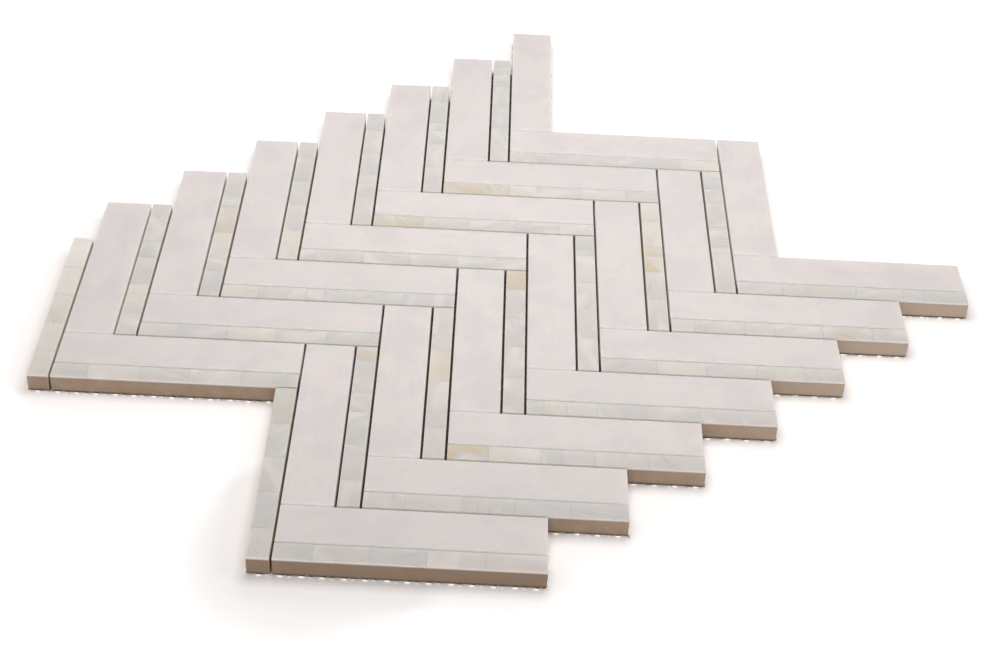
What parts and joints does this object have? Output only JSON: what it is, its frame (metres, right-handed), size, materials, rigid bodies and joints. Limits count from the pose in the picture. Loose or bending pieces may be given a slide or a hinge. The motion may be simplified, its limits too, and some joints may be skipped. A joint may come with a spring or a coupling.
{
  "type": "marble herringbone mosaic tile",
  "caption": "Net-backed herringbone mosaic sheet of white marble planks, each paired with a narrow mother-of-pearl strip on a ceramic bar, for bonding to a wall.",
  "frame": {"origin": "under the middle of the sheet's outline box, on the underside of the net", "axes": "+Z out of the polished face, +Y along the upright planks, towards the lone marble plank that ends the left run, +X along the across planks"},
  "size_m": [0.3952, 0.4162, 0.0084],
  "materials": {
    "white_marble": "fine honed, faint clouds and veins",
    "mother_of_pearl": "polished natural shell chips, pale grey green to cream",
    "tan_ceramic": "unglazed, sawn",
    "glass_fibre_net": "white resin-coated glass-fibre strands"
  },
  "bodies": {
    "root": {"ceramic_bars_across": "tan_ceramic", "ceramic_bars_upright": "tan_ceramic", "marble_left_across_1": "white_marble", "marble_left_across_2": "white_marble", "marble_left_across_3": "white_marble", "marble_left_across_4": "white_marble", "marble_left_across_5": "white_marble", "marble_left_across_6": "white_marble", "marble_left_across_7": "white_marble", "marble_left_upright_1": "white_marble", "marble_left_upright_2": "white_marble", "marble_left_upright_3": "white_marble", "marble_left_upright_4": "white_marble", "marble_left_upright_5": "white_marble", "marble_left_upright_6": "white_marble", "marble_left_upright_7": "white_marble", "marble_right_across_1": "white_marble", "marble_right_across_2": "white_marble", "marble_right_across_3": "white_marble", "marble_right_across_4": "white_marble", "marble_right_across_5": "white_marble", "marble_right_across_6": "white_marble", "marble_right_across_7": "white_marble", "marble_right_upright_1": "white_marble", "marble_right_upright_2": "white_marble", "marble_right_upright_3": "white_marble", "marble_right_upright_4": "white_marble", "marble_right_upright_5": "white_marble", "marble_right_upright_6": "white_marble", "marble_right_upright_7": "white_marble", "net_strands_falling": "glass_fibre_net", "net_strands_rising": "glass_fibre_net", "pearl_left_across_1": "mother_of_pearl", "pearl_left_across_2": "mother_of_pearl", "pearl_left_across_3": "mother_of_pearl", "pearl_left_across_4": "mother_of_pearl", "pearl_left_across_5": "mother_of_pearl", "pearl_left_across_6": "mother_of_pearl", "pearl_left_across_7": "mother_of_pearl", "pearl_left_upright_1": "mother_of_pearl", "pearl_left_upright_2": "mother_of_pearl", "pearl_left_upright_3": "mother_of_pearl", "pearl_left_upright_4": "mother_of_pearl", "pearl_left_upright_5": "mother_of_pearl", "pearl_left_upright_6": "mother_of_pearl", "pearl_left_upright_7": "mother_of_pearl", "pearl_right_across_1": "mother_of_pearl", "pearl_right_across_2": "mother_of_pearl", "pearl_right_across_3": "mother_of_pearl", "pearl_right_across_4": "mother_of_pearl", "pearl_right_across_5": "mother_of_pearl", "pearl_right_across_6": "mother_of_pearl", "pearl_right_across_7": "mother_of_pearl", "pearl_right_upright_1": "mother_of_pearl", "pearl_right_upright_2": "mother_of_pearl", "pearl_right_upright_3": "mother_of_pearl", "pearl_right_upright_4": "mother_of_pearl", "pearl_right_upright_5": "mother_of_pearl", "pearl_right_upright_6": "mother_of_pearl", "pearl_right_upright_7": "mother_of_pearl"}
  },
  "joints": []
}
